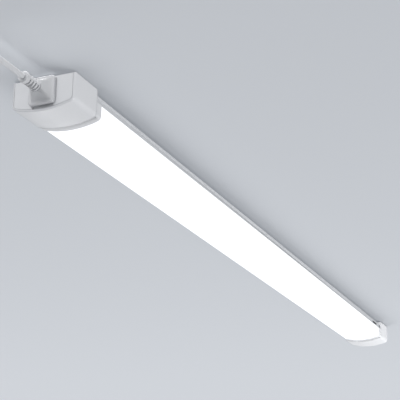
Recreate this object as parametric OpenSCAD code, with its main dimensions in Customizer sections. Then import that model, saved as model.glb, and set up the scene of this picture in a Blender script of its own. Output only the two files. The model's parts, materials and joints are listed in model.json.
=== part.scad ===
// Linkable ceiling batten light: an aluminium rail under the ceiling, a crowned
// opal diffuser snapped into it, moulded end caps, and a plug-in power cord
// with an inline rocker switch. +Z is up, the ceiling plane is z = 0, and the
// light runs along X with its powered end at -X.

/* [Light] */
// Overall length, over both end caps
light_l = 1200; // [600:10:1500]
// Width over the end caps
cap_w = 70; // [66:1:90]
// Drop of the end caps below the ceiling, at the middle of the crown
cap_h = 35; // [35:0.5:45]
// Radius of the crowned underside
crown_r = 105; // [95:5:200]
// Radius that blends the side walls into the underside
corner_r = 6; // [5:0.5:8]

/* [End caps] */
// Length of the full-size block of an end cap
block_l = 46.5; // [44:0.5:60]
// Length of the thin collar that grips the diffuser
collar_l = 9.7; // [5:0.1:12]
// Wall of the end cap's sides, top and underside
cap_wall = 1.8; // [1.5:0.1:2.5]
// Wall of the end face
end_wall = 2; // [1.5:0.1:3]
// Step from the block down to the collar
collar_step = 0.8; // [0.5:0.1:1.2]
// Rounding of the block's outer edges
edge_r = 1.6; // [0.8:0.2:2.4]
// Rounding of the block's upper rear corner
heel_r = 3; // [1:0.5:5]

/* [Rail and diffuser] */
// Top of the rail's back plate, below the ceiling
rail_top = 4.5; // [4.5:0.1:8]
// Height of the rail's side walls, measured from its top
rail_side_h = 8.1; // [7:0.1:9]
// Wall of the rail extrusion
rail_wall = 1.5; // [1.2:0.1:2]
// Length of rail that runs into each end cap block
rail_entry = 12; // [11:0.5:14]
// Half width of the mounting rib on the back of the rail
rib_half = 15.5; // [14:0.5:18]
// Wall of the opal diffuser
diffuser_wall = 1.2; // [1:0.1:1.6]

/* [LED board] */
// Width of the board
board_w = 40; // [38:1:44]
// Thickness of the board
board_t = 1.6; // [1:0.1:1.6]
// Chips in each of the two rows
chips_per_row = 60; // [20:4:80]
// Distance between the two rows of chips
chip_rows_gap = 20; // [12:1:28]

/* [Sockets and connector] */
// Height of the socket axis below the ceiling
axis_drop = 15.2; // [15.2:0.1:15.6]
// Width of the connector's nose
nose_w = 24; // [22:0.5:24]
// Height of the connector's nose
nose_h = 21; // [19:0.5:21]
// Depth of the sockets in the end faces
socket_d = 14; // [13:0.5:16]
// Width of the connector's flange
flange_w = 29; // [28:0.5:30]
// Height of the connector's flange
flange_h = 28.8; // [26:0.2:28.8]
// Diameter of the inlet's round pins
pin_d = 2.4; // [2:0.2:2.6]
// Distance between the pins
pin_gap = 9; // [8:0.5:10]
// Clearance between parts that slide or turn in each other
clear = 0.3; // [0.25:0.05:0.4]

/* [Ceiling clips] */
// Distance between the two clips
clip_gap = 800; // [300:10:1000]
// Length of a clip along the rail
clip_l = 30; // [20:1:40]
// Thickness of the clip's spring steel
clip_t = 1; // [0.8:0.1:1]
// Diameter of the screw hole in a clip
clip_hole_d = 4.5; // [4:0.1:5]

/* [Cord] */
// Diameter of the round two-core cord
cord_d = 5.4; // [5:0.1:5.6]
// Mean diameter of the outermost turn of the stored coil
coil_d = 80; // [80:2:90]
// Distance from one turn of the coil to the next
coil_pitch = 5.85; // [5.85:0.05:6.2]

/* [Switch and mains plug] */
// Length of the inline switch
switch_l = 57; // [54:1:60]
// Width of the inline switch
switch_w = 25; // [25:0.5:28]
// Thickness of the inline switch
switch_t = 17; // [17:0.5:19]
// Radius of the rocker about its pivot
rocker_r = 9.5; // [9:0.1:9.5]
// Width of the rocker between its flat sides
rocker_w = 13; // [12:0.5:13]
// Tilt of the rocker to either side of level
rocker_tilt = 9; // [7:1:9]
// Width of the flat mains plug
plug_w = 35.4; // [34:0.2:36]
// Thickness of the mains plug
plug_t = 13.7; // [13:0.1:14]
// Length of the plug's body
plug_body_l = 30; // [28:1:34]

/* [Hidden] */

$fn = 48;
eps = 0.01;
crown_fn = 128; // facets on a full turn of the shallow crown
slot_clear = 0.2; // gap between pieces that are pushed together once
pin_fit = 0.1; // by how much a hole is wider than the pin fixed in it

// Section of the caps, collar and diffuser
crown_z = crown_r - cap_h;
corner_y = cap_w / 2 - corner_r;
corner_z = crown_z - sqrt(pow(crown_r - corner_r, 2) - pow(corner_y, 2));
body_inset = cap_wall + slot_clear; // rail and diffuser inside the cap's outline
rail_half = cap_w / 2 - body_inset;
rail_low = rail_top + rail_side_h;
near_x = -light_l / 2;
cap_l = block_l + collar_l;
rail_end = light_l / 2 - block_l + rail_entry;
diffuser_end = light_l / 2 - block_l + 5;

// Rail details
plate_low = rail_top + rail_wall; // underside of the back plate
rib_top = 1.3; // top of the mounting rib, below the ceiling
rib_flange_t = 1.2;
rib_web_half = rib_half - 3.5;
ledge_in = 1; // ledge that the diffuser's bead hooks over
ledge_t = 0.9;

// Screws of the end caps, from above through the cap and the rail's back plate
screw_x = block_l - 6;
screw_y = 22;
screw_d = 2.9;
screw_head_d = 5.5;
screw_seat = 2.6; // underside of the head, below the ceiling
screw_grip = plate_low + 1.1; // where the full thread ends
screw_tip = screw_grip + 1.2;

// Driver board, upright behind the inlet
driver_x = 21;
driver_w = 62;
driver_t = 1.6;
driver_z = [-30, -9]; // lower and upper edge

// Connector, from the end face outwards
nose_l = socket_d - 0.5;
flange_l = 4;
flange_rim = 3.2; // flat border round the foot of the neck
neck_l = 10;
neck_end = 12.4;
relief_l = 23;
relief_d = 11.2;
relief_x = -(flange_l + neck_l);
relief_end = relief_x - relief_l;
contact_d = 4; // outside diameter of a brass contact sleeve
contact_bore = pin_d + 0.6;

// Switch, plug and coil places, from the end face of the powered end
drop_x = -115; // plumb line that the cord hangs on
switch_top = -72;
coil_x = -108;
coil_z = -220;
tail_l = 24;
bend_r = 32; // where the cord turns down
lead_r = 26; // where the cord leans into the coil
switch_z = switch_top - switch_l / 2;
pivot_depth = 3.8; // rocker pivot, below the cover's face
pivot_y = pivot_depth - switch_t / 2;
face_depth = 4.6; // press faces of the rocker, above its pivot
rocker_pin_d = 2.4;
cover_y = -2; // joint plane of the switch's two shells

// Coil: turns wind in through the front layer and out through the back layer
coil_in = 135; // angle at which the cord joins the coil
coil_turn = 2205; // whole winding, which ends at the left, heading down
coil_step = 15;
coil_layer = coil_pitch;
coil_lead = 7; // straight ends of the winding
coil_sides = 6;
cord_sides = 8;

// ---------------------------------------------------------------- paths

function unit(v) = v / norm(v);

// Points of the arc that rounds corner b between a and c
function corner(a, b, c, r, n) =
    let (u = unit(b - a), w = unit(c - b), turn = acos(u * w), cut = r * tan(turn / 2),
         middle = b + unit(w - u) * r / cos(turn / 2),
         from = b - u * cut - middle, to = b + w * cut - middle)
    [for (k = [0:n]) middle + (from * sin(turn * (1 - k / n)) + to * sin(turn * k / n)) / sin(turn)];

// A route through points, with its corners rounded to radius r in n steps
function route(p, r, n) =
    concat([p[0]],
           [for (i = [1:len(p) - 2]) each corner(p[i - 1], p[i], p[i + 1], r, n)],
           [p[len(p) - 1]]);

// The same path with no step longer than the given one
function spaced(p, step) =
    concat([p[0]],
           [for (i = [1:len(p) - 1])
                let (parts = ceil(norm(p[i] - p[i - 1]) / step))
                for (k = [1:parts]) p[i - 1] + (p[i] - p[i - 1]) * k / parts]);

function path_length(p) = len(p) < 2 ? 0 : sum([for (i = [1:len(p) - 1]) norm(p[i] - p[i - 1])]);
function sum(v, i = 0) = i >= len(v) ? 0 : v[i] + sum(v, i + 1);

function heading(p, i) =
    i == 0 ? unit(p[1] - p[0])
    : i == len(p) - 1 ? unit(p[i] - p[i - 1])
    : unit(unit(p[i + 1] - p[i]) + unit(p[i] - p[i - 1]));

// A round tube swept along p; side is any direction that the path never takes
module tube(p, d, sides, side) {
    rings = [for (i = [0:len(p) - 1])
        let (t = heading(p, i), u = unit(side - t * (t * side)), v = cross(t, u))
        for (j = [0:sides - 1])
            p[i] + d / 2 * (cos(360 * j / sides) * u + sin(360 * j / sides) * v)];
    walls = [for (i = [0:len(p) - 2], j = [0:sides - 1])
        let (k = (j + 1) % sides, a = i * sides, b = a + sides)
        each [[a + j, b + j, b + k], [a + j, b + k, a + k]]];
    last = (len(p) - 1) * sides;
    ends = [for (j = [1:sides - 2]) each [[0, j, j + 1], [last, last + j + 1, last + j]]];
    polyhedron(rings, concat(walls, ends), convexity = 10);
}

// ---------------------------------------------------------------- cord route

function near(x, y, z) = [near_x + x, y, z];

front_y = -coil_layer / 2;

run_path = spaced(route([near(relief_end, 0, -axis_drop), near(drop_x, 0, -axis_drop),
                         near(drop_x, 0, switch_top)], bend_r, 5), 3 * cord_d);

// Radius, depth and place of the winding after turning through angle a
function coil_radius(a) = coil_d / 2 - coil_pitch * min(a, coil_turn - a) / 360;
function coil_y(a) = let (k = min(1, max(0, (a - coil_turn / 2 + 90) / 180))) front_y + coil_layer * k;
function coil_point(a) =
    near(coil_x + coil_radius(a) * cos(coil_in + a), coil_y(a), coil_z + coil_radius(a) * sin(coil_in + a));

coil_turns = [for (a = [0:coil_step:coil_turn]) coil_point(a)];
coil_start = coil_turns[0] - unit(coil_turns[1] - coil_turns[0]) * coil_lead;
coil_last = coil_turns[len(coil_turns) - 1];
coil_end = coil_last - [0, 0, coil_lead];
coil_path = concat([coil_start], coil_turns, [coil_end]);

// The drop swings forward from the switch into the coil's front layer
lean = unit(coil_start - coil_turns[0]);
drop_corner = coil_start + lean * ((near_x + drop_x - coil_start[0]) / lean[0]);
drop_start = near(drop_x, front_y, switch_top - switch_l);
drop_path = spaced(route([drop_start, drop_corner, coil_start], lead_r, 4), 3 * cord_d);

tail_end = coil_end - [0, 0, tail_l];
tail_path = spaced([coil_end, tail_end], 2 * cord_d);

// Least gap between stretches of the winding that are over half a turn apart
half_turn_steps = 180 / coil_step;
coil_gap = min([for (i = [0:len(coil_path) - 1], j = [i + half_turn_steps:1:len(coil_path) - 1])
                norm(coil_path[i] - coil_path[j])]) - cord_d;
echo(coil_gap = coil_gap, run = path_length(run_path), drop = path_length(drop_path),
     coil = path_length(coil_path), tail = path_length(tail_path));

// ---------------------------------------------------------------- shapes

// Extrudes a section drawn as (y, z) from x0 to x1
module along_x(x0, x1) {
    translate([x0, 0, 0]) rotate([90, 0, 90]) linear_extrude(x1 - x0) children();
}

// Straight sides, round lower corners and a shallow crown, drawn as (y, z)
module crown_section(inset, top) {
    half = cap_w / 2 - inset;
    fillet = corner_r - inset;
    tangent_y = corner_y * (crown_r - inset) / (crown_r - corner_r);
    translate([-half, corner_z]) square([2 * half, top - corner_z]);
    for (s = [-1, 1]) translate([s * corner_y, corner_z]) circle(fillet);
    intersection() {
        translate([0, crown_z]) circle(crown_r - inset, $fn = crown_fn);
        translate([-tangent_y, inset - cap_h - 1]) square([2 * tangent_y, corner_z + cap_h - inset + 1]);
    }
}

module rounded_rect(w, h, r) {
    square([w - 2 * r, h], center = true);
    square([w, h - 2 * r], center = true);
    for (sx = [-1, 1], sy = [-1, 1]) translate([sx * (w / 2 - r), sy * (h / 2 - r)]) circle(r);
}

// Puts what is built about the socket axis into place, +X pointing into the light
module on_axis() {
    translate([0, 0, -axis_drop]) children();
}

module at_near_end() {
    translate([near_x, 0, 0]) children();
}

module at_far_end() {
    translate([-near_x, 0, 0]) rotate([0, 0, 180]) children();
}

// ---------------------------------------------------------------- end caps

// Slice of the block's outline from x0 to x1, drawn in by inset
module outline_slice(x0, x1, inset) {
    along_x(x0, x1) crown_section(inset, -inset, $fn = 32);
}

line_w = 0.6; // shadow lines round the end face and near the block's rear edge
line_d = 0.5;
line_in = edge_r + 0.15; // from the cap's sides to the line round the end face
rear_line_x = block_l - 2;

// A line cut round the sides and the underside, between two insets
module line_cut(x0, x1, outer, inner) {
    along_x(x0, x1) difference() {
        crown_section(outer, 2);
        crown_section(inner, 3);
    }
}

module cap_outside() {
    difference() {
        hull() {
            for (a = [0:30:60]) {
                x = edge_r * (1 - cos(a));
                outline_slice(x, x + eps, edge_r * (1 - sin(a)));
            }
            outline_slice(edge_r, block_l - 0.8, 0);
            outline_slice(block_l - eps, block_l, 0.5);
        }
        line_cut(-1, line_d, line_in, line_in + line_w);
        line_cut(rear_line_x, rear_line_x + line_w, -1, line_d / 2);
    }
}

module cap_collar() {
    difference() {
        along_x(block_l - 2, cap_l) crown_section(collar_step, -rail_low - slot_clear);
        along_x(block_l - 2.5, cap_l + 1) crown_section(cap_wall, 0);
    }
}

// Cuts the upper rear edge of the block to a radius
module heel_cut() {
    difference() {
        translate([block_l - heel_r, -cap_w, -heel_r]) cube([heel_r + 1, 2 * cap_w, heel_r + 1]);
        translate([block_l - heel_r, 0, -heel_r]) rotate([90, 0, 0])
            cylinder(h = 2 * cap_w + 2, r = heel_r, center = true);
    }
}

socket_w = nose_w + 2 * clear;
socket_h = nose_h + 2 * clear;
socket_wall = 1.6;
scoop_w = 24; // shallow thumb recess under the socket, down to the line round the end face
scoop_d = 2.6;

module scoop(grow, depth) {
    intersection() {
        translate([0, -scoop_w / 2 - grow, -cap_h]) cube([depth, scoop_w + 2 * grow, cap_h - axis_drop]);
        along_x(-1, depth + 1) crown_section(max(cap_wall / 2, line_in - grow), 0);
    }
}

// The moulding shared by both ends, its end face at x = 0
module cap_moulding() {
    difference() {
        union() {
            difference() {
                cap_outside();
                heel_cut();
                along_x(end_wall, block_l - 2) crown_section(cap_wall, -cap_wall);
                along_x(block_l - 2.5, block_l + 1) crown_section(cap_wall, slot_clear - rail_top);
            }
            cap_collar();
            intersection() {
                union() {
                    on_axis() along_x(1, socket_d + socket_wall)
                        rounded_rect(socket_w + 2 * socket_wall, socket_h + 2 * socket_wall, 2.5);
                    translate([1, 0, 0]) scoop(socket_wall, scoop_d + socket_wall - 1);
                }
                along_x(0, block_l) crown_section(cap_wall / 2, -cap_wall / 2);
            }
            for (s = [-1, 1]) {
                translate([screw_x, s * screw_y, -rail_top + 0.1])
                    cylinder(h = rail_top - 1, d = 7.5);
                // Slotted ribs that hold the driver board upright
                for (x = [driver_x - 2.2, driver_x + driver_t + 0.2])
                    translate([x, s > 0 ? cap_w / 2 - cap_wall - 3.4 : cap_wall - cap_w / 2, -28])
                        cube([2, 3.4, 27]);
            }
        }
        on_axis() along_x(-1, socket_d) rounded_rect(socket_w, socket_h, 1.5);
        translate([-1, 0, 0]) scoop(0, scoop_d + 1);
        on_axis() along_x(0, socket_d + 5)
            rounded_rect(insert_w + 2 * slot_clear, insert_h + 2 * slot_clear, 1);
        for (s = [-1, 1]) translate([screw_x, s * screw_y, 0]) {
            cylinder(h = 20, d = screw_d + 0.3, center = true);
            translate([0, 0, -screw_seat]) cylinder(h = 5, d = screw_head_d + 0.5);
        }
    }
}

insert_w = 18;
insert_h = 12;
insert_flange_t = 1.5;

module near_cap() {
    color("gainsboro") at_near_end() cap_moulding();
}

module far_cap() {
    color("gainsboro") at_far_end() cap_moulding();
}

module cap_screw() {
    translate([0, 0, -screw_seat]) difference() {
        union() {
            cylinder(h = 0.8, d = screw_head_d);
            translate([0, 0, 0.8]) cylinder(h = 1.2, d1 = screw_head_d, d2 = 3.4);
        }
        for (a = [0, 90]) rotate([0, 0, a]) translate([-1.6, -0.35, 0.9]) cube([3.2, 0.7, 2]);
    }
    translate([0, 0, -screw_grip]) cylinder(h = screw_grip - screw_seat + eps, d = screw_d);
    translate([0, 0, -screw_tip]) cylinder(h = screw_tip - screw_grip, d1 = 1, d2 = screw_d);
}

module cap_screws() {
    color("silver") {
        at_near_end() for (s = [-1, 1]) translate([screw_x, s * screw_y, 0]) cap_screw();
        at_far_end() for (s = [-1, 1]) translate([screw_x, s * screw_y, 0]) cap_screw();
    }
}

// Soft gasket that the end of the diffuser presses against
module seal() {
    x = light_l / 2 - diffuser_end - 2;
    difference() {
        along_x(x, x + 1.8) crown_section(body_inset, -rail_low - 1);
        along_x(x - 1, x + 3) crown_section(body_inset + 2, 0);
    }
}

module near_seal() {
    color("dimgray") at_near_end() seal();
}

module far_seal() {
    color("dimgray") at_far_end() seal();
}

// ---------------------------------------------------------------- rail, diffuser, board

// Mirrors a half section in y
module both_sides() {
    children();
    mirror([1, 0]) children();
}

module box2(y0, y1, z0, z1) {
    translate([y0, z0]) square([y1 - y0, z1 - z0]);
}

shelf_in = board_w / 2 + slot_clear; // grooves that the LED board slides into
channel_d = 0.8; // channel along the rail's side, between two lips
channel_shoulder = 0.5;
channel_top = -rail_top - 2.3;
channel_low = 1.4 - rail_low;

module rail_section() {
    difference() {
        union() {
            box2(-rail_half, rail_half, -plate_low, -rail_top);
            both_sides() {
                box2(rail_half - rail_wall, rail_half, -rail_low, -rail_top);
                box2(rail_half - rail_wall - ledge_in, rail_half - rail_wall + eps,
                     -rail_low, ledge_t - rail_low);
                box2(shelf_in, shelf_in + 1.2, -plate_low - board_t - 1.2, -plate_low + eps);
                box2(shelf_in - 1, shelf_in + 1.2, -plate_low - board_t - 1.2, -plate_low - board_t - 0.2);
            }
        }
        both_sides() {
            polygon([[rail_half + 1, channel_top], [rail_half, channel_top],
                     [rail_half - channel_d, channel_top - channel_shoulder],
                     [rail_half - channel_d, channel_low], [rail_half + 1, channel_low]]);
            difference() {
                box2(rail_half - 0.8, rail_half + 1, -rail_top - 0.8, 1 - rail_top);
                translate([rail_half - 0.8, -rail_top - 0.8]) circle(0.8);
            }
        }
    }
}

module rib_section() {
    both_sides() {
        box2(rib_web_half, rib_web_half + 1.2, -rail_top - eps, -rib_top);
        box2(rib_web_half, rib_half, -rib_top - rib_flange_t, -rib_top);
    }
}

module rail() {
    color("silver") difference() {
        union() {
            along_x(-rail_end, rail_end) rail_section();
            along_x(near_x + block_l + 2, -near_x - block_l - 2) rib_section();
        }
        for (end = [-1, 1], s = [-1, 1])
            translate([end * (light_l / 2 - screw_x), s * screw_y, -screw_tip - 0.3])
                cylinder(h = screw_tip, d = screw_d + 0.1);
        entry_plate(0, -1, rail_wall + 1);
    }
}

// Cable entry in the rail's front side, near the outlet, shut by a rubber blank
channel_mid = (channel_top - channel_shoulder + channel_low) / 2;
entry_x = -near_x - block_l - 34;
entry_l = 23;
entry_h = 2.4;
blank_rim = 0.25; // by how much the blank's head is wider than the hole
blank_fit = 0.1; // by how much its plug is narrower

// Upright plate with round ends, from y0 to y1 inwards from the rail's side
module entry_plate(grow, y0, y1) {
    translate([entry_x, y0 - rail_half, channel_mid]) rotate([-90, 0, 0]) linear_extrude(y1 - y0) {
        square([entry_l - entry_h, entry_h + 2 * grow], center = true);
        for (s = [-1, 1]) translate([s * (entry_l - entry_h) / 2, 0]) circle(d = entry_h + 2 * grow);
    }
}

module entry_blank() {
    color("black") {
        entry_plate(blank_rim, 0.1, channel_d - 0.02);
        entry_plate(-blank_fit, channel_d - 0.1, rail_wall);
    }
}

// Opal extrusion: shell, shoulders under the rail and hooked legs inside it
module diffuser_section() {
    shoulder_z = -rail_low - slot_clear;
    leg_y = rail_half - rail_wall - ledge_in - slot_clear; // outer face of the leg
    difference() {
        crown_section(body_inset, shoulder_z);
        crown_section(body_inset + diffuser_wall, shoulder_z - diffuser_wall);
        box2(-leg_y + diffuser_wall, leg_y - diffuser_wall, shoulder_z - diffuser_wall - 1, 0);
    }
    both_sides() {
        box2(leg_y - diffuser_wall, leg_y, shoulder_z - eps, -plate_low - 2);
        translate([leg_y - eps, ledge_t - rail_low + slot_clear]) square([0.9, 1]);
    }
}

module diffuser() {
    color("white") along_x(-diffuser_end, diffuser_end) diffuser_section();
}

board_l = light_l - 2 * cap_l - 12;

module led_board() {
    color("white") translate([-board_l / 2, -board_w / 2, -plate_low - board_t])
        cube([board_l, board_w, board_t]);
}

module led_chips() {
    pitch = board_l / chips_per_row;
    chip_t = 0.8;
    color("khaki") translate([0, 0, -plate_low - board_t - chip_t / 2])
        for (i = [0:chips_per_row - 1], s = [-1, 1])
            translate([-board_l / 2 + (i + 0.5) * pitch, s * chip_rows_gap / 2, 0])
                cube([3.5, 2.8, chip_t], center = true);
}

// ---------------------------------------------------------------- ceiling clips

// Spring steel clip: a flat back with a screw hole, and two legs that snap round the rib
module clip_section() {
    leg_y = rib_half + 0.4;
    hook_z = -rib_top - rib_flange_t - clear;
    box2(-leg_y - clip_t, leg_y + clip_t, -clip_t, 0);
    both_sides() {
        box2(leg_y, leg_y + clip_t, hook_z - clip_t, 0);
        box2(rib_web_half + 1.2 + 0.5, leg_y + eps, hook_z - clip_t, hook_z);
    }
}

module clip_at(x) {
    color("silver") translate([x, 0, 0]) difference() {
        along_x(-clip_l / 2, clip_l / 2) clip_section();
        cylinder(h = 3 * clip_t, d = clip_hole_d, center = true);
        // Relief slots that let the legs spring
        for (s = [-1, 1], e = [-1, 1])
            translate([e * clip_l / 4, s * (rib_half + 1), -4]) cube([1.5, 2.6, 6], center = true);
    }
}

module near_clip() {
    clip_at(-clip_gap / 2);
}

module far_clip() {
    clip_at(clip_gap / 2);
}

// ---------------------------------------------------------------- inlet and outlet

// Insulator that closes the back of a socket, with a flange on its inner side
module insert_body() {
    along_x(socket_d - 0.2, socket_d + socket_wall + 0.2) rounded_rect(insert_w, insert_h, 0.8);
    along_x(socket_d + socket_wall + 0.1, socket_d + socket_wall + insert_flange_t)
        rounded_rect(insert_w + 3, insert_h + 3, 1.5);
}

module pins_at(x0, x1, d) {
    for (s = [-1, 1]) translate([x0, s * pin_gap / 2, 0]) rotate([0, 90, 0]) cylinder(h = x1 - x0, d = d);
}

module inlet_insert() {
    color("ivory") at_near_end() on_axis() difference() {
        insert_body();
        pins_at(socket_d - 2, driver_x, pin_d + pin_fit);
    }
}

module inlet_pins() {
    color("goldenrod") at_near_end() on_axis() {
        pins_at(socket_d - 9.5, driver_x, pin_d);
        for (s = [-1, 1]) translate([socket_d - 9.5, s * pin_gap / 2, 0]) sphere(d = pin_d, $fn = 32);
    }
}

core_w = 14; // island in the outlet that carries its two contacts
core_h = 8;

module outlet_insert() {
    color("ivory") at_far_end() on_axis() difference() {
        union() {
            insert_body();
            along_x(2, socket_d) rounded_rect(core_w, core_h, 1.2);
        }
        pins_at(1, driver_x, contact_d + pin_fit);
    }
}

module outlet_contacts() {
    color("goldenrod") at_far_end() on_axis() difference() {
        pins_at(4, driver_x - 1, contact_d);
        pins_at(3, socket_d, contact_bore);
    }
}

// ---------------------------------------------------------------- driver

// Parts stand on the inner face of the board and point along the light
driver_face = driver_x + driver_t;

module driver_board() {
    color("darkgreen") at_near_end() difference() {
        translate([driver_x, -driver_w / 2, driver_z[0]])
            cube([driver_t, driver_w, driver_z[1] - driver_z[0]]);
        for (s = [-1, 1]) translate([driver_x, s * 27, driver_z[0]])
            rotate([s > 0 ? 45 : -45, 0, 0]) cube([10, 9, 9], center = true);
    }
}

module driver_transformer() {
    color("gold") at_near_end() translate([driver_face, -9, -29]) {
        difference() {
            cube([16, 18, 15]);
            for (y = [3.5, 11.5]) translate([3, y, -1]) cube([10, 3, 20]);
        }
        translate([3.2, 6.6, -0.4 + eps]) cube([9.6, 4.8, 15.8 - 2 * eps]);
    }
}

module driver_capacitor(y, z, d, h) {
    translate([driver_face, y, z]) rotate([0, 90, 0]) {
        cylinder(h = h - 1, d = d);
        translate([0, 0, h - 1 - eps]) cylinder(h = 1, d1 = d, d2 = d - 1.4);
    }
}

module driver_capacitors() {
    color("navy") at_near_end() {
        driver_capacitor(17.5, -22, 10, 18);
        driver_capacitor(-17.5, -22, 10, 18);
    }
}

module driver_choke() {
    color("saddlebrown") at_near_end() translate([driver_face + 4.5, 25.7, -17.5]) rotate([0, 90, 0])
        difference() {
            cylinder(h = 9, d = 5, center = true);
            cylinder(h = 10, d = 2, center = true);
        }
}

module driver_rectifier() {
    color("black") at_near_end() translate([driver_face, -27, -26]) cube([4, 3.6, 9]);
}

module driver_fuse() {
    color("beige") at_near_end() translate([driver_face + 2.6, -15, -11.7]) rotate([90, 0, 0])
        union() {
            cylinder(h = 10, d = 5, center = true);
            for (s = [-1, 1]) translate([0, 0, s * 4.2]) cylinder(h = 2.4, d = 5.2, center = true);
        }
}

// ---------------------------------------------------------------- wires in the rail

wire_d = 1.6;
wire_y = board_w / 2 + 5;
wire_z = -plate_low - 0.3 - wire_d / 2;

// Mains wires that carry the supply along the rail to the outlet
module link_wires() {
    color("firebrick") for (s = [-1, 1])
        tube(route([[near_x + driver_face, s * wire_y, wire_z - 4.5],
                    [near_x + driver_face + 12, s * wire_y, wire_z - 4.5],
                    [near_x + driver_face + 20, s * wire_y, wire_z],
                    [-near_x - 34, s * wire_y, wire_z],
                    [-near_x - 26, s * 11, wire_z - 3],
                    [-near_x - 24, s * pin_gap / 2, -axis_drop],
                    [-near_x - driver_x + 1, s * pin_gap / 2, -axis_drop]], 2, 3),
             wire_d, 8, [0.31, 0.2, 0.93]);
}

// Low-voltage wires from the driver to the LED board
module board_wires() {
    end_x = -board_l / 2;
    color("crimson") for (s = [-1, 1])
        tube(route([[near_x + driver_face, s * 4, -10.5 - board_t],
                    [end_x - 6, s * 4, -10.5 - board_t],
                    [end_x - 2, s * 4, -plate_low - wire_d / 2 - 0.2],
                    [end_x - 0.05, s * 4, -plate_low - wire_d / 2 - 0.2]], 1.6, 3), 1.2, 8, [0, 1, 0]);
}

// ---------------------------------------------------------------- connector

// Slice of a rounded rectangle from x, for hulls along X
module slice(x, w, h, r, t = eps) {
    along_x(x, x + t) rounded_rect(w, h, r, $fn = 24);
}

// Eased-edge plate from x0 to x1, its front edge at x0 rounded to radius e
module eased_plate(x0, x1, w, h, r, e) {
    hull() {
        for (a = [0:30:90]) {
            inset = e * (1 - sin(a));
            slice(x0 + e * (1 - cos(a)), w - 2 * inset, h - 2 * inset, r - inset);
        }
        slice(x1 - eps, w, h, r);
    }
}

relief_slot = 0.44; // part of each pitch that is slot
relief_web = 2.3; // what is left standing between an upper and a lower slot

// Ribbed strain relief from x = 0 to x = -l, tapering to a thick ring at the cord's end. Its
// slots are cut from above and below, or from one side and then the other where staggered
module strain_relief(l, d, slots, staggered) {
    ring_x = l - 4.6;
    ring_r = d / 2 + 0.2;
    ring_edge = 0.9;
    pitch = (ring_x - 0.6) / slots;
    difference() {
        rotate([0, -90, 0]) rotate_extrude() {
            polygon([[0, 0], [d / 2, 0], [d / 2 - 0.4, ring_x + eps], [0, ring_x + eps]]);
            translate([0, ring_x]) square([ring_r - ring_edge, l - ring_x]);
            translate([0, ring_x + ring_edge]) square([ring_r, l - ring_x - 2 * ring_edge]);
            for (z = [ring_x + ring_edge, l - ring_edge])
                translate([ring_r - ring_edge, z]) circle(ring_edge, $fn = 32);
        }
        for (i = [0:slots - 1]) translate([-(i + 0.7) * pitch, 0, 0]) difference() {
            side = staggered ? i % 2 * 2 - 1 : 0;
            translate([0, side * (d / 2 + 1), 0]) cube([relief_slot * pitch, d + 2, d + 2], center = true);
            rotate([0, 90, 0]) cylinder(h = pitch, d = cord_d + 1, center = true);
            if (!staggered) cube([pitch, d + 3, relief_web], center = true);
        }
    }
}

module connector_body() {
    color("whitesmoke") at_near_end() on_axis() difference() {
        union() {
            along_x(-flange_l + 0.5, nose_l) rounded_rect(nose_w, nose_h, 1.4);
            eased_plate(-flange_l, -clear, flange_w, flange_h, 3.5, 1);
            hull() {
                slice(-flange_l + eps, flange_w - 2 * flange_rim, flange_h - 2 * flange_rim, 1.2);
                slice(relief_x, neck_end, neck_end, 3);
            }
            translate([relief_x + eps, 0, 0]) strain_relief(relief_l + eps, relief_d, 4, false);
        }
        pins_at(2, nose_l + 1, contact_d + pin_fit);
    }
}

module connector_contacts() {
    color("goldenrod") at_near_end() on_axis() difference() {
        pins_at(2, nose_l - 0.8, contact_d);
        pins_at(2.8, nose_l, contact_bore);
    }
}

// ---------------------------------------------------------------- cord

module cord_run() {
    color("white") tube(run_path, cord_d, cord_sides, [0, 1, 0]);
}

module cord_drop() {
    color("white") tube(drop_path, cord_d, cord_sides, [0, 1, 0]);
}

module cord_coil() {
    color("white") tube(coil_path, cord_d, coil_sides, [0, 1, 0]);
}

module cord_tail() {
    color("white") tube(tail_path, cord_d, cord_sides, [0, 1, 0]);
}

tie_angle = 84; // where the band goes round the bundle
tie_l = 9;
tie_t = 1;

// Strap round the bundle of turns
module coil_tie() {
    inner = coil_d / 2 - coil_pitch * coil_turn / 720 - cord_d / 2 - clear;
    outer = coil_d / 2 + cord_d / 2 + clear;
    depth = coil_layer + cord_d + 2 * clear;
    color("dimgray") translate([near_x + coil_x, 0, coil_z]) rotate([0, -tie_angle, 0])
        translate([(inner + outer) / 2, 0, 0]) difference() {
            cube([outer - inner + 2 * tie_t, depth + 2 * tie_t, tie_l], center = true);
            cube([outer - inner, depth, tie_l + 1], center = true);
        }
}

// ---------------------------------------------------------------- inline switch

// Built about its middle, with its length along Z and its rocker facing -Y
module at_switch() {
    translate([near_x + drop_x, 0, switch_z]) children();
}

// Half shell of depth d with a soft outer edge, growing along +Y from y = 0
module switch_shell(d) {
    plan_r = 6;
    rotate([-90, 0, 0]) hull() {
        for (step = [[0, d - 3, 0], [d - 0.9, eps, 0.9], [d - eps, eps, 3]])
            translate([0, 0, step[0]]) linear_extrude(step[1])
                rounded_rect(switch_w - 2 * step[2], switch_l - 2 * step[2], plan_r - step[2], $fn = 32);
    }
}

shell_t = 2;

module switch_hollow(y0, y1) {
    translate([0, y1, 0]) rotate([90, 0, 0]) linear_extrude(y1 - y0)
        rounded_rect(switch_w - 2 * shell_t, switch_l - 2 * shell_t, 4);
}

module switch_posts(y0, y1, d) {
    for (s = [-1, 1]) translate([0, y1, s * (switch_l / 2 - 7)]) rotate([90, 0, 0])
        cylinder(h = y1 - y0, d = d);
}

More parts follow.
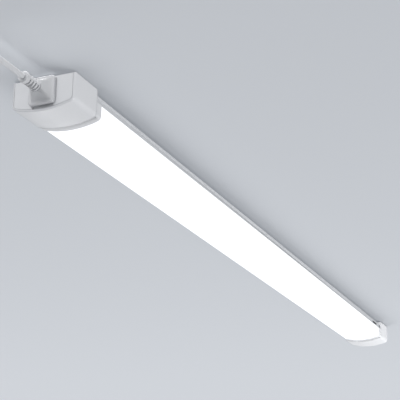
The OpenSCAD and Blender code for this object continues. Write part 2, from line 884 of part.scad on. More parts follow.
module switch_base() {
    back = switch_t / 2;
    color("white") at_switch() {
        difference() {
            union() {
                difference() {
                    translate([0, cover_y, 0]) switch_shell(back - cover_y);
                    switch_hollow(cover_y - 1, back - shell_t);
                }
                switch_posts(cover_y, back - 1, 6);
                // Ears that carry the rocker's pivot
                for (s = [-1, 1])
                    translate([s * (rocker_w / 2 + clear + 1), (pivot_y - 1.6 + back - 1) / 2, 0])
                        cube([2, back - pivot_y + 0.6, 8], center = true);
            }
            switch_posts(cover_y - 1, back + 1, 2.5);
            switch_posts(back - 1.2, back + 1, 4.6);
            translate([0, pivot_y, 0]) rotate([0, 90, 0])
                cylinder(h = switch_w, d = rocker_pin_d + 0.12, center = true);
        }
    }
}

module rocker_shape(grow) {
    intersection() {
        translate([0, pivot_y, 0]) sphere(rocker_r + grow, $fn = 64);
        cube([rocker_w + 2 * grow, 60, 60], center = true);
    }
}

module switch_cover() {
    front = -switch_t / 2;
    color("white") at_switch() difference() {
        union() {
            difference() {
                translate([0, cover_y - slot_clear, 0]) mirror([0, 1, 0])
                    switch_shell(cover_y - slot_clear - front);
                switch_hollow(front + shell_t, cover_y + 1);
            }
            switch_posts(front + 1, cover_y - slot_clear, 6);
        }
        rocker_shape(0.35);
        switch_posts(front + 1.6, cover_y + 1, 2);
    }
}

module switch_rocker() {
    color("white") at_switch() translate([0, pivot_y, 0]) rotate([rocker_tilt, 0, 0]) {
        difference() {
            intersection() {
                sphere(rocker_r, $fn = 64);
                cube([rocker_w, 60, 60], center = true);
            }
            // Two press faces that meet in a shallow valley
            for (s = [-1, 1]) rotate([s * rocker_tilt, 0, 0])
                translate([-20, -face_depth - 20, s > 0 ? 0 : -30]) cube([40, 20, 30]);
            // Underside cut back to a skirt
            translate([0, 11.5, 0]) cube([40, 20, 40], center = true);
        }
        rotate([0, 90, 0]) cylinder(h = rocker_w + 2 * clear + 3.4, d = rocker_pin_d, center = true);
    }
}

module switch_terminals() {
    color("goldenrod") at_switch() for (s = [-1, 1])
        translate([0, switch_t / 2 - shell_t - 1.6, s * 14]) {
            difference() {
                cube([9, 3.2, 6], center = true);
                rotate([90, 0, 0]) cylinder(h = 10, d = 2.6, center = true);
            }
            translate([0, 0.8, -s * 5]) cube([4, 0.8, 6], center = true);
        }
}

module switch_screws() {
    back = switch_t / 2;
    color("silver") at_switch() for (s = [-1, 1])
        translate([0, back - 1.2, s * (switch_l / 2 - 7)]) rotate([-90, 0, 0]) difference() {
            union() {
                cylinder(h = 1.1, d = 4.2);
                translate([0, 0, -10]) cylinder(h = 10.01, d = 1.9);
            }
            for (a = [0, 90]) rotate([0, 0, a]) translate([-1.3, -0.3, 0.4]) cube([2.6, 0.6, 2]);
        }
}

// ---------------------------------------------------------------- mains plug

plug_relief_l = 20;
plug_relief_d = 10;
plug_flange_l = 6; // widest part of the body, next to the pins
plug_neck_l = 9.5; // narrow part that flares out from the relief
plug_body_w = 30;
plug_shoulder_w = 17; // where the neck meets the body's round shoulders
plug_shoulder_r = 8;
plug_pin_gap = 18.6;
plug_pin_d = 4;
plug_pin_l = 19;
pin_toe_in = 0.9; // each pin leans towards the other by this many degrees

// Built hanging from the tail's end, cord at the top, pins pointing down
module at_plug() {
    translate(tail_end) rotate([0, 90, 0]) rotate([90, 0, 0]) children();
}

module plug_body() {
    face = plug_relief_l + plug_body_l;
    shoulder = plug_relief_l + plug_neck_l;
    color("white") at_plug() difference() {
        union() {
            translate([plug_relief_l + eps, 0, 0])
                strain_relief(plug_relief_l + eps, plug_relief_d, 5, true);
            hull() {
                slice(plug_relief_l, 10.4, 10.2, 4);
                slice(plug_relief_l + 0.55 * plug_neck_l, 12.2, 10.8, 4);
            }
            hull() {
                slice(plug_relief_l + 0.5 * plug_neck_l, 12, 10.8, 4);
                slice(shoulder, plug_shoulder_w, plug_t - 2.4, 4);
            }
            hull() {
                for (a = [0:30:90])
                    slice(shoulder + plug_shoulder_r * (1 - cos(a)),
                          plug_body_w - (plug_body_w - plug_shoulder_w) * (1 - sin(a)),
                          plug_t - 1 - 1.4 * (1 - sin(a)), 4);
                slice(face - plug_flange_l, plug_body_w, plug_t - 1, 4);
            }
            mirror([1, 0, 0]) eased_plate(-face, plug_flange_l - face, plug_w, plug_t, 4, 0.8);
        }
        for (s = [-1, 1]) translate([face, s * plug_pin_gap / 2, 0]) rotate([0, 90, -s * pin_toe_in])
            cylinder(h = 24, d = plug_pin_d + pin_fit, center = true);
    }
}

module plug_pins() {
    face = plug_relief_l + plug_body_l;
    color("silver") at_plug() for (s = [-1, 1])
        translate([face, s * plug_pin_gap / 2, 0]) rotate([0, 90, -s * pin_toe_in]) {
            translate([0, 0, -12]) cylinder(h = 12.01, d = plug_pin_d);
            cylinder(h = 10.01, d = plug_pin_d - 0.3);
            translate([0, 0, 10]) cylinder(h = plug_pin_l - 12, d = plug_pin_d);
            translate([0, 0, plug_pin_l - 2]) sphere(d = plug_pin_d, $fn = 32);
        }
}

rail();
diffuser();
near_cap();
far_cap();
cap_screws();
near_seal();
far_seal();
entry_blank();
led_board();
led_chips();
near_clip();
far_clip();
inlet_insert();
inlet_pins();
outlet_insert();
outlet_contacts();
driver_board();
driver_transformer();
driver_capacitors();
driver_choke();
driver_rectifier();
driver_fuse();
link_wires();
board_wires();
connector_body();
connector_contacts();
cord_run();
switch_base();
switch_cover();
switch_rocker();
switch_terminals();
switch_screws();
cord_drop();
cord_coil();
coil_tie();
cord_tail();
plug_body();
plug_pins();
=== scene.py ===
import json
import math
import bmesh
import bpy
from mathutils import Matrix, Vector


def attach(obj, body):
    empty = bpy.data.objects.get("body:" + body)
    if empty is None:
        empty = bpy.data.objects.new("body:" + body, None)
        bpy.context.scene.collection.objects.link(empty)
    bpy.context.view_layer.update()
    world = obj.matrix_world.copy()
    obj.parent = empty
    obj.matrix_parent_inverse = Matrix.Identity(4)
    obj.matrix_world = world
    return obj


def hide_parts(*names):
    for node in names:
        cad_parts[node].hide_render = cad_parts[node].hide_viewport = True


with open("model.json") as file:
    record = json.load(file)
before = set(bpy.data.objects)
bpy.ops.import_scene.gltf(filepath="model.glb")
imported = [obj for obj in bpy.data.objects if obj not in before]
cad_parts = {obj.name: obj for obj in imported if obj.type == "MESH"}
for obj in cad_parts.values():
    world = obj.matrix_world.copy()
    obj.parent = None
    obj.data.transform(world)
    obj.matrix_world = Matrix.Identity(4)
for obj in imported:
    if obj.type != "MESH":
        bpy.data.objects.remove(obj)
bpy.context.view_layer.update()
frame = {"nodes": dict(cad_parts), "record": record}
nodes = frame["nodes"]
scene = bpy.context.scene
mm = 0.001


cameraSetup = {
    "place": (-1.439, -0.532, -0.470),
    "heading": 23.5,  # degrees from the light's length towards +Y
    "pitch": 19.3,  # looking up at the ceiling
    "roll": 0.31,
    "lens": 99.45,
    "sensor": 36,
    "nearest": 0.01,
    "farthest": 60,
}


def makeCamera(setup):
    data = bpy.data.cameras.new("photoCamera")
    data.lens = setup["lens"]
    data.sensor_width = setup["sensor"]
    data.clip_start = setup["nearest"]
    data.clip_end = setup["farthest"]
    camera = bpy.data.objects.new("photoCamera", data)
    scene.collection.objects.link(camera)
    heading = math.radians(setup["heading"])
    pitch = math.radians(setup["pitch"])
    roll = math.radians(setup["roll"])
    level = Vector((math.cos(heading), math.sin(heading), 0))
    forward = level * math.cos(pitch) + Vector((0, 0, math.sin(pitch)))
    right = level.cross(Vector((0, 0, 1)))
    up = right.cross(forward)
    tiltedRight = right * math.cos(roll) + up * math.sin(roll)
    tiltedUp = up * math.cos(roll) - right * math.sin(roll)
    turn = Matrix((tiltedRight, tiltedUp, -forward)).transposed()
    camera.matrix_world = Matrix.Translation(setup["place"]) @ turn.to_4x4()
    scene.camera = camera


makeCamera(cameraSetup)
print("camera placed")


def linear(value):
    return value / 12.92 if value <= 0.04045 else ((value + 0.055) / 1.055) ** 2.4


# Linear colour of a colour given as it looks on screen, 0 to 255
def tone(red, green, blue):
    return tuple(linear(channel / 255) for channel in (red, green, blue)) + (1,)


def addNode(tree, kind, **inputs):
    node = tree.nodes.new(kind)
    for name, value in inputs.items():
        node.inputs[name.replace("_", " ")].default_value = value
    return node


# Output of a node that turns a value between two bounds into one between two others
def rescaled(tree, value, bounds, results):
    node = tree.nodes.new("ShaderNodeMapRange")
    for name, number in zip(("From Min", "From Max", "To Min", "To Max"), (*bounds, *results)):
        node.inputs[name].default_value = number
    tree.links.new(value, node.inputs["Value"])
    return node.outputs["Result"]


noiseBand = (0.3, 0.7)  # nearly all of a noise texture's values lie between these


# Moulded, painted, drawn or sheathed surface: mottled colour, uneven gloss and fine bump
def surface(name, setup):
    material = bpy.data.materials.new(name)
    material.use_nodes = True
    tree = material.node_tree
    tree.nodes.clear()
    output = tree.nodes.new("ShaderNodeOutputMaterial")
    shader = tree.nodes.new("ShaderNodeBsdfPrincipled")
    tree.links.new(shader.outputs["BSDF"], output.inputs["Surface"])
    place = tree.nodes.new("ShaderNodeTexCoord")
    stretch = tree.nodes.new("ShaderNodeMapping")
    stretch.inputs["Scale"].default_value = setup.get("stretch", (1, 1, 1))
    tree.links.new(place.outputs["Object"], stretch.inputs["Vector"])

    def noise(scale, detail, rough=0.5):
        node = addNode(tree, "ShaderNodeTexNoise", Scale=scale, Detail=detail, Roughness=rough)
        tree.links.new(stretch.outputs["Vector"], node.inputs["Vector"])
        return node

    # colour: broad uneven tone between the darker and the lighter shade
    broad = noise(setup.get("toneScale", 14), 4, 0.55)
    shade = tree.nodes.new("ShaderNodeValToRGB")
    shades = (setup["dark"], setup["light"])
    for stop, position, colour in zip(shade.color_ramp.elements, noiseBand, shades):
        stop.position = position
        stop.color = tone(*colour)
    tree.links.new(broad.outputs["Fac"], shade.inputs["Fac"])

    # painted shade: the colour is darkened where ambient occlusion finds seams, slots and inner corners
    corners = addNode(tree, "ShaderNodeAmbientOcclusion", Distance=setup.get("dustReach", 0.002))
    corners.samples = 8
    paintedShade = rescaled(tree, corners.outputs["AO"], (0.2, 0.9), (1 - setup.get("paintedShade", 0.15), 1))
    shadedTone = addNode(tree, "ShaderNodeHueSaturation")
    tree.links.new(paintedShade, shadedTone.inputs["Value"])
    tree.links.new(shade.outputs["Color"], shadedTone.inputs["Color"])
    tree.links.new(shadedTone.outputs["Color"], shader.inputs["Base Color"])

    # gloss: handled and dusty patches
    patches = noise(setup.get("glossScale", 35), 5, 0.6)
    tree.links.new(rescaled(tree, patches.outputs["Fac"], noiseBand, setup["rough"]),
                   shader.inputs["Roughness"])

    # bump: broad waves of a moulded wall, then the grain of a mould, paint or drawn sheath
    rounded = addNode(tree, "ShaderNodeBevel", Radius=setup.get("edge", 0.0003))
    rounded.samples = 4
    waves = addNode(tree, "ShaderNodeBump", Strength=0.5, Distance=setup.get("wave", 0.00004))
    tree.links.new(noise(setup.get("waveScale", 60), 2).outputs["Fac"], waves.inputs["Height"])
    tree.links.new(rounded.outputs["Normal"], waves.inputs["Normal"])
    grainScale, grainStrength, grainDepth = setup["grain"]
    bump = addNode(tree, "ShaderNodeBump", Strength=grainStrength, Distance=grainDepth)
    tree.links.new(noise(grainScale, 6, 0.6).outputs["Fac"], bump.inputs["Height"])
    tree.links.new(waves.outputs["Normal"], bump.inputs["Normal"])
    tree.links.new(bump.outputs["Normal"], shader.inputs["Normal"])

    shader.inputs["Metallic"].default_value = setup.get("metal", 0)
    shader.inputs["IOR"].default_value = setup.get("ior", 1.48)
    if "glow" in setup:
        *glowColour, glowStrength = setup["glow"]
        shader.inputs["Emission Color"].default_value = tone(*glowColour)
        shader.inputs["Emission Strength"].default_value = glowStrength
    return material


# Tones as seen on screen. rough runs from glossy to dull, grain is scale, strength and depth in
# metres, glow is a colour and a strength, and stretch draws the pattern out along the light.
finishes = {
    "rail_metal": {
        "dark": (201, 203, 206), "light": (212, 214, 216), "rough": (0.34, 0.46),
        "grain": (1800, 0.12, 0.00008), "toneScale": 6, "stretch": (0.15, 1, 1), "ior": 1.5},
    "opal": {
        "dark": (240, 242, 245), "light": (246, 247, 249), "rough": (0.30, 0.42),
        "grain": (900, 0.08, 0.00005), "stretch": (0.06, 1, 1), "glow": (250, 252, 255, 0.62)},
    # cap plastic: its seams and corners are darkened less than in the other finishes, as painted shade
    "cap_plastic": {
        "dark": (217, 218, 220), "light": (224, 225, 227), "rough": (0.40, 0.52),
        "grain": (2600, 0.25, 0.00006), "edge": 0.0003, "paintedShade": 0.06},
    "screw_steel": {
        "dark": (150, 152, 156), "light": (188, 189, 192), "rough": (0.28, 0.42),
        "grain": (2400, 0.2, 0.00005), "metal": 1},
    "seal_rubber": {
        "dark": (52, 53, 55), "light": (64, 65, 67), "rough": (0.7, 0.85),
        "grain": (1800, 0.3, 0.0001)},
    "board_white": {
        "dark": (233, 235, 236), "light": (242, 243, 243), "rough": (0.35, 0.5),
        "grain": (1500, 0.1, 0.00005)},
    "led_chip": {
        "dark": (236, 214, 120), "light": (244, 226, 142), "rough": (0.25, 0.35),
        "grain": (2500, 0.1, 0.00004), "glow": (255, 244, 214, 1.2)},
    "clip_steel": {
        "dark": (160, 162, 166), "light": (182, 184, 187), "rough": (0.26, 0.38),
        "grain": (700, 0.2, 0.00005), "stretch": (0.08, 1, 1), "metal": 1},
    "insulator": {
        "dark": (221, 218, 207), "light": (229, 227, 217), "rough": (0.4, 0.55),
        "grain": (2200, 0.2, 0.00005)},
    "contact_brass": {
        "dark": (196, 160, 84), "light": (216, 184, 108), "rough": (0.22, 0.36),
        "grain": (1600, 0.15, 0.00004), "metal": 1},
    "circuit_board": {
        "dark": (22, 74, 38), "light": (30, 92, 48), "rough": (0.3, 0.45), "grain": (900, 0.2, 0.0001)},
    "transformer_tape": {
        "dark": (196, 158, 42), "light": (212, 176, 58), "rough": (0.35, 0.5),
        "grain": (900, 0.2, 0.0001)},
    "capacitor_sleeve": {
        "dark": (24, 26, 52), "light": (34, 37, 66), "rough": (0.2, 0.32), "grain": (900, 0.1, 0.0001)},
    "choke_winding": {
        "dark": (104, 48, 20), "light": (136, 66, 28), "rough": (0.25, 0.4),
        "grain": (1400, 0.5, 0.0003)},
    "black_resin": {
        "dark": (20, 20, 21), "light": (32, 32, 33), "rough": (0.4, 0.55),
        "grain": (2500, 0.3, 0.00006)},
    "fuse_ceramic": {
        "dark": (214, 204, 176), "light": (226, 218, 194), "rough": (0.25, 0.4),
        "grain": (1200, 0.1, 0.00005)},
    "wire_insulation": {
        "dark": (196, 58, 48), "light": (214, 74, 62), "rough": (0.3, 0.45),
        "grain": (1600, 0.15, 0.00005)},
    # painted shade: the connector's moulding is given greyer tones than its white plastic, standing in
    # for the shade that falls on it
    "cord_moulding": {
        "dark": (196, 197, 199), "light": (206, 207, 209), "rough": (0.38, 0.5),
        "grain": (2400, 0.25, 0.00006), "edge": 0.0004},
    "cord_sheath": {
        "dark": (198, 199, 201), "light": (206, 207, 209), "rough": (0.34, 0.46),
        "grain": (1900, 0.2, 0.00006)},
    "switch_plastic": {
        "dark": (222, 222, 224), "light": (230, 230, 231), "rough": (0.26, 0.36),
        "grain": (2600, 0.15, 0.00004)},
    "rocker_plastic": {
        "dark": (226, 226, 228), "light": (233, 233, 234), "rough": (0.22, 0.32),
        "grain": (2600, 0.1, 0.00004)},
    "tie_rubber": {
        "dark": (48, 48, 50), "light": (60, 60, 62), "rough": (0.55, 0.7),
        "grain": (1800, 0.3, 0.0001)},
    "pin_nickel": {
        "dark": (176, 175, 171), "light": (200, 199, 195), "rough": (0.18, 0.3),
        "grain": (1500, 0.1, 0.00004), "metal": 1},
}
materials = {name: surface(name, setup) for name, setup in finishes.items()}


def paint(piece, name):
    piece.data.materials.clear()
    piece.data.materials.append(materials[name])


for part in frame["record"]["subparts"]:
    paint(nodes[part["node"]], part["material_slot"])
print("CAD nodes painted:", len(nodes))

# Mouldings and extrusions shown as smooth copies, with the angle above which an edge stays sharp
weldWithin = 2e-6
flatWithin = math.radians(0.1)
smoothPieces = {
    "near_cap": 32, "far_cap": 32, "connector_body": 32, "plug_body": 32, "switch_base": 32,
    "switch_cover": 32, "switch_rocker": 32, "rail": 30, "diffuser": 30, "plug_pins": 30,
}
bodies = frame["record"]["behaviour"]["bodies"]
bodyOf = {part: body for body, parts in bodies.items() for part in parts}
slotOf = {part["node"]: part["material_slot"] for part in frame["record"]["subparts"]}


# Turns a bmesh into a painted piece that stands for a CAD node and rides on its body
def finishedPiece(form, pieceName, crease, node):
    for face in form.faces:
        face.smooth = True
    mesh = bpy.data.meshes.new(pieceName)
    form.to_mesh(mesh)
    form.free()
    mesh.set_sharp_from_angle(angle=math.radians(crease))
    piece = bpy.data.objects.new(pieceName, mesh)
    scene.collection.objects.link(piece)
    paint(piece, slotOf[node])
    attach(piece, bodyOf[node])
    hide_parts(node)
    return piece


# Copy of a CAD node with its loose triangles joined, so that flat faces shade flat and round
# ones round
def smoothCopy(name, crease):
    form = bmesh.new()
    form.from_mesh(nodes[name].data)
    bmesh.ops.remove_doubles(form, verts=form.verts, dist=weldWithin)
    bmesh.ops.dissolve_limit(form, angle_limit=flatWithin, verts=form.verts, edges=form.edges)
    piece = finishedPiece(form, name + "Smooth", crease, name)
    evened = piece.modifiers.new("evenShading", "WEIGHTED_NORMAL")
    evened.mode = "FACE_AREA_WITH_ANGLE"
    evened.keep_sharp = True
    return piece


smoothed = {name: smoothCopy(name, crease) for name, crease in smoothPieces.items()}
print("smooth copies made:", len(smoothed))


# The cord's route, in mm from the powered end, as in the construction
cordSetup = {
    "nearEnd": -600.0,  # end face of the powered cap, mm
    "axisDrop": 15.2,  # socket's middle below the ceiling
    "reliefEnd": -37.0,
    "dropAt": -115.0,
    "switchTop": -72.0,
    "switchLength": 57.0,
    "bend": 32.0,
    "bendSteps": 14,
    "leadBend": 26.0,
    "leadBendSteps": 10,
    "coilAt": -108.0,
    "coilHeight": -220.0,
    "coilWidth": 80.0,
    "pitch": 5.85,  # from one turn's middle to the next one's
    "joinAngle": 135.0,
    "winding": 2205.0,  # degrees wound in all, in and then out again
    "crossing": 180.0,  # degrees over which the cord passes to the second layer
    "turnStep": 5,
    "leanStep": 15,  # chord at the coil's start that the lead runs in line with
    "lead": 7.0,
    "tail": 24.0,
    "runSpacing": 4,
    "storedSpacing": 8,
    "diameter": 5.4,
    "roundness": 5,
}


def nearPoint(x, y, z):
    return Vector((cordSetup["nearEnd"] + x, y, z))


# Points of a route through corners, each rounded to one radius
def roundedRoute(corners, radius, steps):
    points = [corners[0]]
    for before, at, after in zip(corners, corners[1:], corners[2:]):
        arriving = (at - before).normalized()
        leaving = (after - at).normalized()
        turn = arriving.angle(leaving)
        cut = radius * math.tan(turn / 2)
        middle = at + (leaving - arriving).normalized() * radius / math.cos(turn / 2)
        first = at - arriving * cut - middle
        last = at + leaving * cut - middle
        for step in range(steps + 1):
            share = step / steps
            arc = (first * math.sin(turn * (1 - share)) + last * math.sin(turn * share)) / math.sin(turn)
            points.append(middle + arc)
    points.append(corners[-1])
    return points


# The same route with no two points further apart than one step
def spaced(points, step):
    result = [points[0]]
    for start, end in zip(points, points[1:]):
        parts = max(1, math.ceil((end - start).length / step))
        result += [start.lerp(end, part / parts) for part in range(1, parts + 1)]
    return result


def pathLength(points):
    return sum((b - a).length for a, b in zip(points, points[1:]))


# Spirals inwards on the first layer and back outwards on the second
def windingPoint(setup, angle):
    radius = setup["coilWidth"] / 2 - setup["pitch"] * min(angle, setup["winding"] - angle) / 360
    crossed = (angle - setup["winding"] / 2 + setup["crossing"] / 2) / setup["crossing"]
    climb = min(1, max(0, crossed))
    turned = math.radians(setup["joinAngle"] + angle)
    return nearPoint(setup["coilAt"] + radius * math.cos(turned),
                     -setup["pitch"] / 2 + setup["pitch"] * climb,
                     setup["coilHeight"] + radius * math.sin(turned))


def cordRoutes(setup):
    down = Vector((0, 0, -1))
    run = roundedRoute([nearPoint(setup["reliefEnd"], 0, -setup["axisDrop"]),
                        nearPoint(setup["dropAt"], 0, -setup["axisDrop"]),
                        nearPoint(setup["dropAt"], 0, setup["switchTop"])],
                       setup["bend"], setup["bendSteps"])
    first = windingPoint(setup, 0)
    lean = (first - windingPoint(setup, setup["leanStep"])).normalized()
    start = first + lean * setup["lead"]
    switchBottom = setup["switchTop"] - setup["switchLength"]
    drop = nearPoint(setup["dropAt"], -setup["pitch"] / 2, switchBottom)
    corner = start + lean * ((drop.x - start.x) / lean.x)
    lower = roundedRoute([drop, corner, start], setup["leadBend"], setup["leadBendSteps"])
    angles = range(0, int(setup["winding"]) + 1, setup["turnStep"])
    turns = [windingPoint(setup, angle) for angle in angles]
    end = turns[-1] + down * setup["lead"]
    whole = lower + turns + [end, end + down * setup["tail"]]
    return spaced(run, setup["runSpacing"]), spaced(whole, setup["storedSpacing"])


# Round sheathed cord along points given in mm
def makeCord(name, points, setup):
    data = bpy.data.curves.new(name, "CURVE")
    data.dimensions = "3D"
    data.bevel_depth = setup["diameter"] / 2 * mm
    data.bevel_resolution = setup["roundness"]
    data.use_fill_caps = True
    spline = data.splines.new("POLY")
    spline.points.add(len(points) - 1)
    for knot, point in zip(spline.points, points):
        knot.co = (*(point * mm), 1)
    spline.use_smooth = True
    cord = bpy.data.objects.new(name, data)
    scene.collection.objects.link(cord)
    data.materials.append(materials["cord_sheath"])
    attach(cord, "cord_set")
    return cord


runPoints, storedPoints = cordRoutes(cordSetup)
runCord = makeCord("cordToSwitch", runPoints, cordSetup)
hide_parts("cord_run")


# The band round the stored turns, in mm
tieSetup = {
    "angle": 84.0,  # where the band goes round the turns, in degrees
    "passes": 6,  # turns that it holds there
    "width": 8.0,
    "wall": 0.9,
    "slack": 0.35,
    "roundness": 32,
    "edge": 0.22,  # how far its rims are rounded
    "rimAngle": 60,
    "crease": 50,
}


# Outline round the turns where the band holds them. The hull's own order changes from run to
# run, so its points are put in order round their middle.
def bundleOutline(setup, centre):
    form = bmesh.new()
    for lap in range(1, setup["passes"] + 1):
        at = windingPoint(cordSetup, setup["angle"] - cordSetup["joinAngle"] + 360 * lap)
        reach = math.hypot(at.x - centre.x, at.z - centre.z)
        for end in (-0.5, 0.5):
            bmesh.ops.create_circle(form, segments=setup["roundness"],
                                    radius=cordSetup["diameter"] / 2 + setup["slack"],
                                    matrix=Matrix.Translation((reach, at.y, end * setup["width"])))
    hull = bmesh.ops.convex_hull(form, input=form.verts)
    inner = [item for item in hull["geom_interior"] if isinstance(item, bmesh.types.BMVert)]
    bmesh.ops.delete(form, geom=inner, context="VERTS")
    outline = [vert.co.copy() for vert in form.verts if vert.co.z < 0]
    form.free()
    middle = sum(outline, Vector()) / len(outline)
    return sorted(outline, key=lambda point: math.atan2(point.y - middle.y, point.x - middle.x))


# The same bmesh with its edges and faces in the order of their points. Solidify gives them in an
# order that changes from run to run, and bevel follows it.
def settled(form):
    form.verts.index_update()
    count = len(form.verts)

    def rank(item):
        lowest, second = sorted(vert.index for vert in item.verts)[:2]
        return lowest * count + second

    form.edges.sort(key=rank)
    form.faces.sort(key=lambda face: rank(face) * count + max(vert.index for vert in face.verts))
    store = bpy.data.meshes.new("settled")
    form.to_mesh(store)
    form.clear()
    form.from_mesh(store)
    bpy.data.meshes.remove(store)


# Soft band drawn tight round the outermost turns
def makeTie(setup):
    centre = nearPoint(cordSetup["coilAt"], 0, cordSetup["coilHeight"])
    outline = bundleOutline(setup, centre)
    form = bmesh.new()
    tube = bmesh.ops.create_cone(form, cap_ends=False, segments=len(outline), radius1=1, radius2=1,
                                 depth=setup["width"])["verts"]
    for near, far, point in zip(tube[::2], tube[1::2], outline):
        near.co.xy = far.co.xy = point.xy
    bmesh.ops.recalc_face_normals(form, faces=form.faces)
    bmesh.ops.solidify(form, geom=form.faces[:], thickness=-setup["wall"])
    settled(form)
    bmesh.ops.recalc_face_normals(form, faces=form.faces)
    bmesh.ops.dissolve_limit(form, angle_limit=flatWithin, verts=form.verts, edges=form.edges)
    sharpest = math.radians(setup["rimAngle"])
    rims = [edge for edge in form.edges if edge.calc_face_angle(0) > sharpest]
    bmesh.ops.bevel(form, geom=rims, offset=setup["edge"], segments=2, profile=0.5,
                    affect="EDGES", material=-1)
    place = Matrix.Translation(centre) @ Matrix.Rotation(-math.radians(setup["angle"]), 4, "Y")
    bmesh.ops.transform(form, matrix=Matrix.Scale(mm, 4) @ place, verts=form.verts)
    return finishedPiece(form, "coilTie", setup["crease"], "coil_tie")


coilTie = makeTie(tieSetup)
storedCord = makeCord("cordToPlug", storedPoints, cordSetup)
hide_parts("cord_drop", "cord_coil", "cord_tail")
print("cords laid: %.3f m and %.3f m" % (pathLength(runPoints) * mm, pathLength(storedPoints) * mm))


# Plain ceiling, floor and sky round the light
roomSetup = {
    "reach": 7.0,
    "ceilingGap": 0.0016,
    "ceilingTone": (203, 206, 210),
    "floorLevel": -2.4,
    "floorTone": (236, 237, 239),
    "floorLift": 0.3,  # how much paler the floor looks to the camera than its light makes it
    "skyTone": (226, 228, 232),
    "skyStrength": 0.65,
    "skyShown": 0.95,  # strength of the sky where the camera sees it
}


# Matt backdrop seen from its front only, so that it never hides the light from behind
def backdropMaterial(name, colour, lift):
    material = bpy.data.materials.new(name)
    material.use_nodes = True
    tree = material.node_tree
    tree.nodes.clear()
    output = tree.nodes.new("ShaderNodeOutputMaterial")
    mix = tree.nodes.new("ShaderNodeMixShader")
    face = tree.nodes.new("ShaderNodeNewGeometry")
    matt = addNode(tree, "ShaderNodeBsdfDiffuse", Color=tone(*colour))
    clear = tree.nodes.new("ShaderNodeBsdfTransparent")
    tree.links.new(face.outputs["Backfacing"], mix.inputs["Fac"])
    glow = addNode(tree, "ShaderNodeEmission", Color=tone(*colour))
    seen = tree.nodes.new("ShaderNodeLightPath")
    strength = rescaled(tree, seen.outputs["Is Camera Ray"], (0, 1), (0, lift))
    both = tree.nodes.new("ShaderNodeAddShader")
    tree.links.new(strength, glow.inputs["Strength"])
    tree.links.new(matt.outputs["BSDF"], both.inputs[0])
    tree.links.new(glow.outputs["Emission"], both.inputs[1])
    tree.links.new(both.outputs["Shader"], mix.inputs[1])
    tree.links.new(clear.outputs["BSDF"], mix.inputs[2])
    tree.links.new(mix.outputs["Shader"], output.inputs["Surface"])
    return material


# One flat backdrop, which takes light and shadow but throws neither back
def makePlane(name, level, facesDown, colour, lift=0):
    mesh = bpy.data.meshes.new(name)
    form = bmesh.new()
    bmesh.ops.create_grid(form, x_segments=1, y_segments=1, size=roomSetup["reach"])
    if facesDown:
        bmesh.ops.reverse_faces(form, faces=form.faces)
    bmesh.ops.translate(form, verts=form.verts, vec=(0, 0, level))
    form.to_mesh(mesh)
    form.free()
    plane = bpy.data.objects.new(name, mesh)
    scene.collection.objects.link(plane)
    mesh.materials.append(backdropMaterial(name + "Paint", colour, lift))
    plane.visible_diffuse = False
    plane.visible_glossy = False
    plane.visible_shadow = False
    return plane


ceiling = makePlane("ceiling", roomSetup["ceilingGap"], True, roomSetup["ceilingTone"])
floor = makePlane("floor", roomSetup["floorLevel"], False, roomSetup["floorTone"], roomSetup["floorLift"])
roomPlanes = [ceiling, floor]
backPieces = [smoothed["rail"], nodes["near_clip"], nodes["far_clip"]]  # close to the ceiling
cordPieces = [smoothed["connector_body"], runCord]
farPieces = [smoothed["far_cap"], nodes["outlet_insert"], nodes["far_seal"]]


# Lets a lamp or a glowing piece light only some things, or leaves some things out of its light
def lightOnly(source, receivers, state):
    group = bpy.data.collections.new(source.name + "Receivers")
    for index, thing in enumerate(receivers):
        group.objects.link(thing)
        group.collection_objects[index].light_linking.link_state = state
    source.light_linking.receiver_collection = group


lightOnly(smoothed["diffuser"], roomPlanes, "EXCLUDE")

# What the lamps of each group light, or leave out
lampGroups = {
    "object": (roomPlanes, "EXCLUDE"),
    "front": (roomPlanes + backPieces, "EXCLUDE"),
    "back": (backPieces, "INCLUDE"),
    "cord": (cordPieces, "INCLUDE"),
    "farEnd": (farPieces, "INCLUDE"),
    "ceiling": ([ceiling], "INCLUDE"),
}

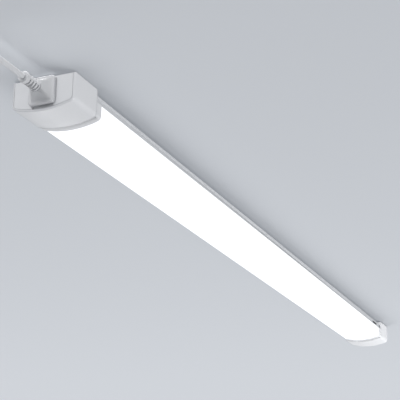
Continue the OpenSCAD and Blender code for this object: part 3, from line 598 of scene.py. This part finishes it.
# Soft round lamps, in metres and watts
lampSetup = {
    "front": {"place": (-2.6, -1.9, -1.5), "aim": (-0.3, 0, 0), "size": 2.2, "power": 7,
        "on": "object"},
    "side": {"place": (0.4, -2.6, -1.7), "aim": (0.0, 0, 0), "size": 1.8, "power": 42,
        "on": "object"},
    "far": {"place": (1.9, 1.7, -1.6), "aim": (0.1, 0, 0), "size": 1.8, "power": 14,
        "on": "object"},
    "farLow": {"place": (1.1, -0.9, -0.9), "aim": (0.6, 0, 0), "size": 0.8, "power": 6,
        "on": "farEnd"},
    "farFront": {"place": (-0.5, -0.7, -0.9), "aim": (0.6, 0, 0), "size": 0.9, "power": 7,
        "on": "farEnd"},
    "over": {"place": (-0.4, 0.3, 2.3), "aim": (-0.1, 0, 0), "size": 2.0, "power": 90,
        "on": "cord"},
    "back": {"place": (-0.2, 0.3, 2.3), "aim": (0.0, 0, 0), "size": 2.4, "power": 16,
        "on": "back"},
    "crest": {"place": (-2.4, 0.3, 1.1), "aim": (-0.4, 0, 0), "size": 1.4, "power": 16,
        "on": "front"},
    "ceilingKey": {"place": (0.8, 2.0, -2.9), "aim": (0.2, 0, 0), "size": 4.0, "power": 58,
        "on": "ceiling"},
    "ceilingFill": {"place": (2.0, -1.6, -2.4), "aim": (0.4, 0, 0), "size": 3.0, "power": 40,
        "on": "ceiling"},
}


def makeLamp(name, setup):
    data = bpy.data.lights.new(name, "AREA")
    data.shape = "DISK"
    data.size = setup["size"]
    data.energy = setup["power"]
    lamp = bpy.data.objects.new(name, data)
    scene.collection.objects.link(lamp)
    towards = Vector(setup["aim"]) - Vector(setup["place"])
    lamp.rotation_euler = towards.to_track_quat("-Z", "Y").to_euler()
    lamp.location = setup["place"]
    lightOnly(lamp, *lampGroups[setup["on"]])


for lampName, setup in lampSetup.items():
    makeLamp(lampName + "Lamp", setup)


def makeSky(setup):
    world = bpy.data.worlds.new("studio")
    world.use_nodes = True
    tree = world.node_tree
    sky = tree.nodes["Background"]
    sky.inputs["Color"].default_value = tone(*setup["skyTone"])
    seen = tree.nodes.new("ShaderNodeLightPath")
    strengths = (setup["skyStrength"], setup["skyShown"])
    strength = rescaled(tree, seen.outputs["Is Camera Ray"], (0, 1), strengths)
    tree.links.new(strength, sky.inputs["Strength"])
    scene.world = world


makeSky(roomSetup)
scene.view_settings.view_transform = "Standard"
print("studio lit")
